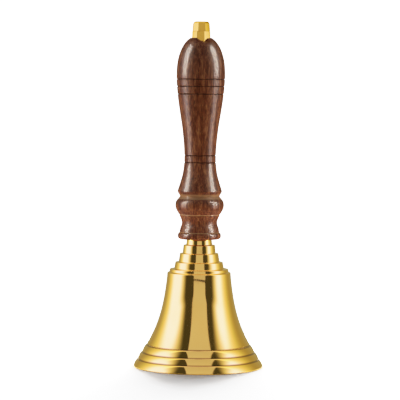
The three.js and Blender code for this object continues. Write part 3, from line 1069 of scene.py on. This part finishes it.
# Brightness that shows as pure white, and (brightness, shown brightness) on the soft shoulder below it.
TONE_WHITE = 2.2
TONE_SHOULDER = [(0.48, 0.48), (0.7, 0.63), (0.82, 0.716), (0.97, 0.82), (1.2, 0.905), (1.6, 0.956)]


def area_light(name, place, size, watts, aim, receivers):
    """Rectangular lamp that faces its aim, lights only the receivers and shows in no reflection."""
    light = bpy.data.lights.new(name, "AREA")
    light.shape = "RECTANGLE"
    light.size, light.size_y = size
    light.energy = watts
    lamp = bpy.data.objects.new(name, light)
    bpy.context.scene.collection.objects.link(lamp)
    towards = (Vector(aim) - Vector(place)).to_track_quat("-Z", "Y")
    lamp.matrix_world = Matrix.Translation(place) @ towards.to_matrix().to_4x4()
    lamp.visible_glossy = False
    lamp.visible_camera = False
    lamp.light_linking.receiver_collection = receivers
    return lamp


def light_table(stage, table):
    """Lamps behind the bell, so that its shadow falls forwards and fades at the sides."""
    floor = bpy.data.collections.new("floor")
    floor.objects.link(table)
    for name, place, size, part in KEY_LAMPS:
        area_light(name, place, size, stage.key * part, KEY_AIM, floor)


def light_wood(stage):
    """Side lamps for the handle. A strip has the power pi * area * brightness and shows in the lacquer
    only."""
    wood = bpy.data.collections.new("wood")
    wood.objects.link(bpy.data.objects["handle_turned"])
    for side, x, y in WOOD_SIDES:
        for part, height, tall, brightness in STRIPS:
            size = (STRIP_WIDTH, tall)
            watts = math.pi * STRIP_WIDTH * tall * stage.strip * brightness
            lamp = area_light("strip_" + side + "_" + part, (x, y, height), size, watts, WOOD_AIM, wood)
            lamp.visible_glossy = True
            lamp.visible_diffuse = False
            lamp.data.color = STRIP_COLOUR
        area_light("wash_" + side, (x, y, WASH_HEIGHT), WASH_SIZE, stage.wash, WOOD_AIM, wood)


def place_camera(stage):
    """Camera in front of the bell, looking along +Y, tilted down by the pitch and turned by the roll."""
    camera = bpy.data.objects.new("camera", bpy.data.cameras.new("camera"))
    bpy.context.scene.collection.objects.link(camera)
    camera.data.lens = stage.lens
    camera.data.sensor_width = 36.0
    camera.data.clip_end = 50
    camera.matrix_world = (
        Matrix.Translation((stage.aim_offset, -stage.distance, stage.eye_height))
        @ Matrix.Rotation(math.pi / 2 - stage.pitch, 4, "X")
        @ Matrix.Rotation(stage.roll, 4, "Z")
    )
    bpy.context.scene.camera = camera


def soften_highlights(view):
    """Tone curve that is straight up to its first point and rolls off to white above it."""
    view.view_transform = "Standard"
    view.look = "None"
    view.use_curve_mapping = True
    curves = view.curve_mapping
    curves.white_level = (TONE_WHITE, TONE_WHITE, TONE_WHITE)
    combined = curves.curves[3]
    for brightness, shown in TONE_SHOULDER:
        combined.points.new(brightness / TONE_WHITE, shown)
    for point in combined.points:
        point.handle_type = "VECTOR"
    curves.update()


class HANDBELL_OT_stage(Operator):
    """Set up the floor, the studio light and the camera"""

    bl_idname = "handbell.stage"
    bl_label = "Stage"

    def execute(self, context):
        stage = context.scene.handbell.stage
        angle = np.linspace(0, 2 * np.pi, 96, endpoint=False)
        rim = stage.table * np.stack([np.cos(angle), np.sin(angle), 0 * angle], axis=-1)
        mesh = bpy.data.meshes.new("table")
        mesh.from_pydata(rim.tolist(), [], [list(range(len(rim)))])
        mesh.materials.append(floor_material())
        table = bpy.data.objects.new("table", mesh)
        context.scene.collection.objects.link(table)
        studio_world(stage)
        light_table(stage, table)
        light_wood(stage)
        place_camera(stage)
        soften_highlights(context.scene.view_settings)
        return {"FINISHED"}


class HANDBELL_PT_panel(Panel):
    """One button for each operator, with its sizes under it, and the colours at the end"""

    bl_idname = "HANDBELL_PT_panel"
    bl_label = "Hand Bell"
    bl_space_type = "VIEW_3D"
    bl_region_type = "UI"
    bl_category = "Hand Bell"

    def draw_settings(self, settings):
        box = self.layout.box()
        for key in settings.bl_rna.properties.keys():
            if key not in {"rna_type", "name"}:
                box.prop(settings, key)

    def draw(self, context):
        bell = context.scene.handbell
        for operator, group in BUILD_ORDER:
            self.layout.operator(operator.bl_idname)
            if group:
                self.draw_settings(getattr(bell, group))
        self.draw_settings(bell.finish)


BUILD_ORDER = [
    (HANDBELL_OT_cup, "cup"),
    (HANDBELL_OT_handle, "handle"),
    (HANDBELL_OT_fixings, None),
    (HANDBELL_OT_finial, "finial"),
    (HANDBELL_OT_clapper, "clapper"),
    (HANDBELL_OT_stage, "stage"),
]
CLASSES = [
    CupSettings,
    HandleSettings,
    FinialSettings,
    ClapperSettings,
    FinishSettings,
    StageSettings,
    BellSettings,
    *[operator for operator, _ in BUILD_ORDER],
    HANDBELL_PT_panel,
]


def register():
    for cls in CLASSES:
        bpy.utils.register_class(cls)
    bpy.types.Scene.handbell = PointerProperty(type=BellSettings)


def unregister():
    del bpy.types.Scene.handbell
    for cls in reversed(CLASSES):
        bpy.utils.unregister_class(cls)


def main():
    register()
    for operator, _ in BUILD_ORDER:
        group, name = operator.bl_idname.split(".")
        result = getattr(getattr(bpy.ops, group), name)()
        if result != {"FINISHED"}:
            raise RuntimeError(operator.bl_label + " did not finish")


if __name__ == "__main__":
    main()
